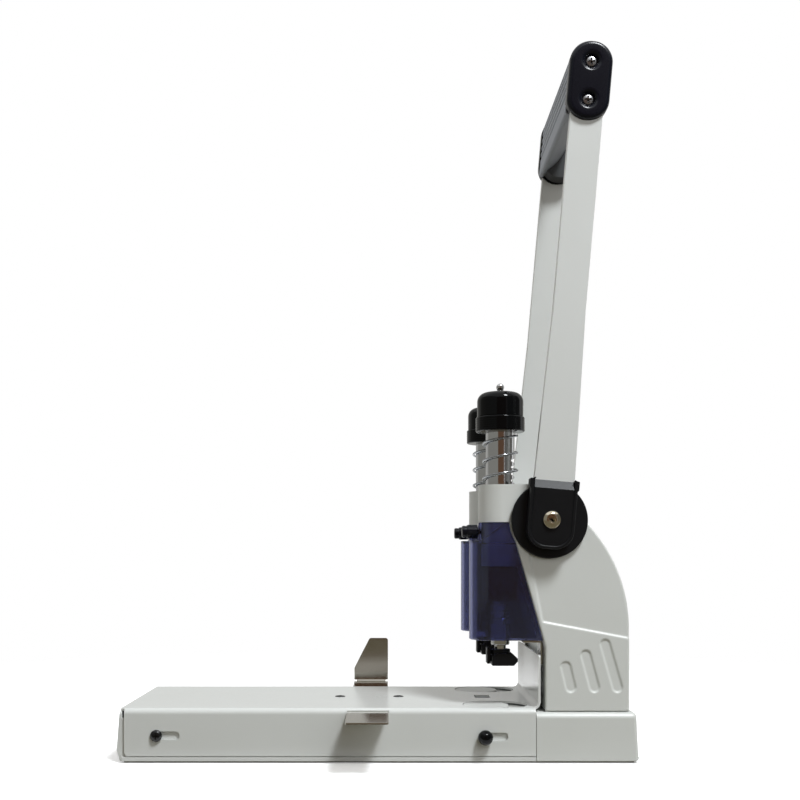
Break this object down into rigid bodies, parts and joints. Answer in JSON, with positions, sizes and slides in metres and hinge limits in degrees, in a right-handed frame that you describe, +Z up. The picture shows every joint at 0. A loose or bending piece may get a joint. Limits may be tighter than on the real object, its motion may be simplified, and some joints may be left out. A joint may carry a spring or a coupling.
{
  "type": "two-hole punch",
  "caption": "Heavy-duty lever paper punch on a long base: a tall handle drives hollow spring-returned pins through a paper stack onto turnable discs, with a sliding table and side gauge.",
  "frame": {"origin": "middle of the underside of the base", "axes": "+X along the base from the paper side to the column, +Y across the machine towards the gauge fin, +Z up"},
  "size_m": [0.3608, 0.2152, 0.4948],
  "materials": {
    "white_enamel": "satin enamel",
    "grey_casting": "primed casting",
    "black_plastic": "satin moulded",
    "gloss_black": "glossy moulded",
    "grip_grey": "satin moulded",
    "clear_blue": "polished, transparent",
    "steel": "machined",
    "chrome": "polished plate",
    "black_steel": "black oxide",
    "brass": "bright",
    "disc_plastic": "matt",
    "rubber": "matt"
  },
  "bodies": {
    "frame": {"base_mat": "rubber", "base_pan": "white_enamel", "bed_casting": "white_enamel", "pan_screws": "steel", "guide_screws": "black_steel", "column_casting": "grey_casting", "column_bolts": "steel", "near_side_cover": "white_enamel", "far_side_cover": "white_enamel", "back_cover": "white_enamel", "front_cover": "white_enamel", "guard_brackets": "steel", "head_casting": "white_enamel", "head_studs": "steel", "shaft_bushes": "brass", "near_guard": "clear_blue", "far_guard": "clear_blue", "near_return_spring": "steel", "far_return_spring": "steel"},
    "table": {"table_cover": "white_enamel", "ruler_guide": "steel", "table_screws": "steel"},
    "gauge": {"gauge_ruler": "chrome"},
    "handle": {"drive_shaft": "steel", "near_pinion": "steel", "far_pinion": "steel", "near_hub": "black_plastic", "far_hub": "black_plastic", "pivot_screws": "brass", "near_arm": "white_enamel", "far_arm": "white_enamel", "grip": "grip_grey", "near_grip_cap": "black_plastic", "far_grip_cap": "black_plastic", "grip_screws": "black_steel"},
    "near_clamp": {"near_clamp_knob": "black_plastic"},
    "near_disc": {"near_cutting_disc": "disc_plastic"},
    "near_thumbscrew": {"near_guard_knob": "black_plastic"},
    "near_punch": {"near_quill": "chrome", "near_cap_collar": "black_plastic", "near_dome_cap": "gloss_black", "near_cap_knob": "chrome", "near_pin_chuck": "black_plastic", "near_punch_pin": "steel"},
    "near_presser": {"near_foot_sleeve": "chrome", "near_foot": "black_plastic", "near_stripper_spring": "steel"},
    "far_clamp": {"far_clamp_knob": "black_plastic"},
    "far_disc": {"far_cutting_disc": "disc_plastic"},
    "far_thumbscrew": {"far_guard_knob": "black_plastic"},
    "far_punch": {"far_quill": "chrome", "far_cap_collar": "black_plastic", "far_dome_cap": "gloss_black", "far_cap_knob": "chrome", "far_pin_chuck": "black_plastic", "far_punch_pin": "steel"},
    "far_presser": {"far_foot_sleeve": "chrome", "far_foot": "black_plastic", "far_stripper_spring": "steel"}
  },
  "joints": [
    {"name": "lever", "type": "hinge", "parent": "frame", "child": "handle", "pos_m": [0.11765, 0, 0.1676], "axis": [0, -1, 0], "range_deg": [0, 72]},
    {"name": "table_slide", "type": "slide", "parent": "frame", "child": "table", "axis": [-1, 0, 0], "range_m": [0, 0.0128]},
    {"name": "gauge_slide", "type": "slide", "parent": "table", "child": "gauge", "axis": [0, 1, 0], "range_m": [-0.032, 0.04]},
    {"name": "near_punch_slide", "type": "slide", "parent": "frame", "child": "near_punch", "axis": [0, 0, -1], "range_m": [0, 0.0293], "stiffness_N_per_m": 600, "springref_m": -0.008, "deforming": ["near_return_spring"]},
    {"name": "near_foot_slide", "type": "slide", "parent": "near_punch", "child": "near_presser", "axis": [0, 0, 1], "range_m": [0, 0.00145], "deforming": ["near_stripper_spring"]},
    {"name": "near_clamp_turn", "type": "hinge", "parent": "frame", "child": "near_clamp", "pos_m": [0.073, 0, 0.0182], "axis": [0, 1, 0], "continuous": true},
    {"name": "near_disc_turn", "type": "hinge", "parent": "frame", "child": "near_disc", "pos_m": [0.0755, -0.04, 0.03], "axis": [0, 0, 1], "continuous": true},
    {"name": "near_thumbscrew_turn", "type": "hinge", "parent": "frame", "child": "near_thumbscrew", "pos_m": [0.06, -0.04, 0.16], "axis": [1, 0, 0], "continuous": true},
    {"name": "far_punch_slide", "type": "slide", "parent": "frame", "child": "far_punch", "axis": [0, 0, -1], "range_m": [0, 0.0293], "stiffness_N_per_m": 600, "springref_m": -0.008, "deforming": ["far_return_spring"]},
    {"name": "far_foot_slide", "type": "slide", "parent": "far_punch", "child": "far_presser", "axis": [0, 0, 1], "range_m": [0, 0.00145], "deforming": ["far_stripper_spring"]},
    {"name": "far_clamp_turn", "type": "hinge", "parent": "frame", "child": "far_clamp", "pos_m": [0.073, 0, 0.0182], "axis": [0, 1, 0], "continuous": true},
    {"name": "far_disc_turn", "type": "hinge", "parent": "frame", "child": "far_disc", "pos_m": [0.0755, 0.04, 0.03], "axis": [0, 0, 1], "continuous": true},
    {"name": "far_thumbscrew_turn", "type": "hinge", "parent": "frame", "child": "far_thumbscrew", "pos_m": [0.06, 0.04, 0.16], "axis": [1, 0, 0], "continuous": true}
  ],
  "couplings": [
    {"joint": "near_punch_slide", "follows": "lever", "m_per_rad": 0.02325},
    {"joint": "near_foot_slide", "follows": "lever", "m_per_rad": 0.0011275},
    {"joint": "far_punch_slide", "follows": "lever", "m_per_rad": 0.02325},
    {"joint": "far_foot_slide", "follows": "lever", "m_per_rad": 0.0011275}
  ]
}
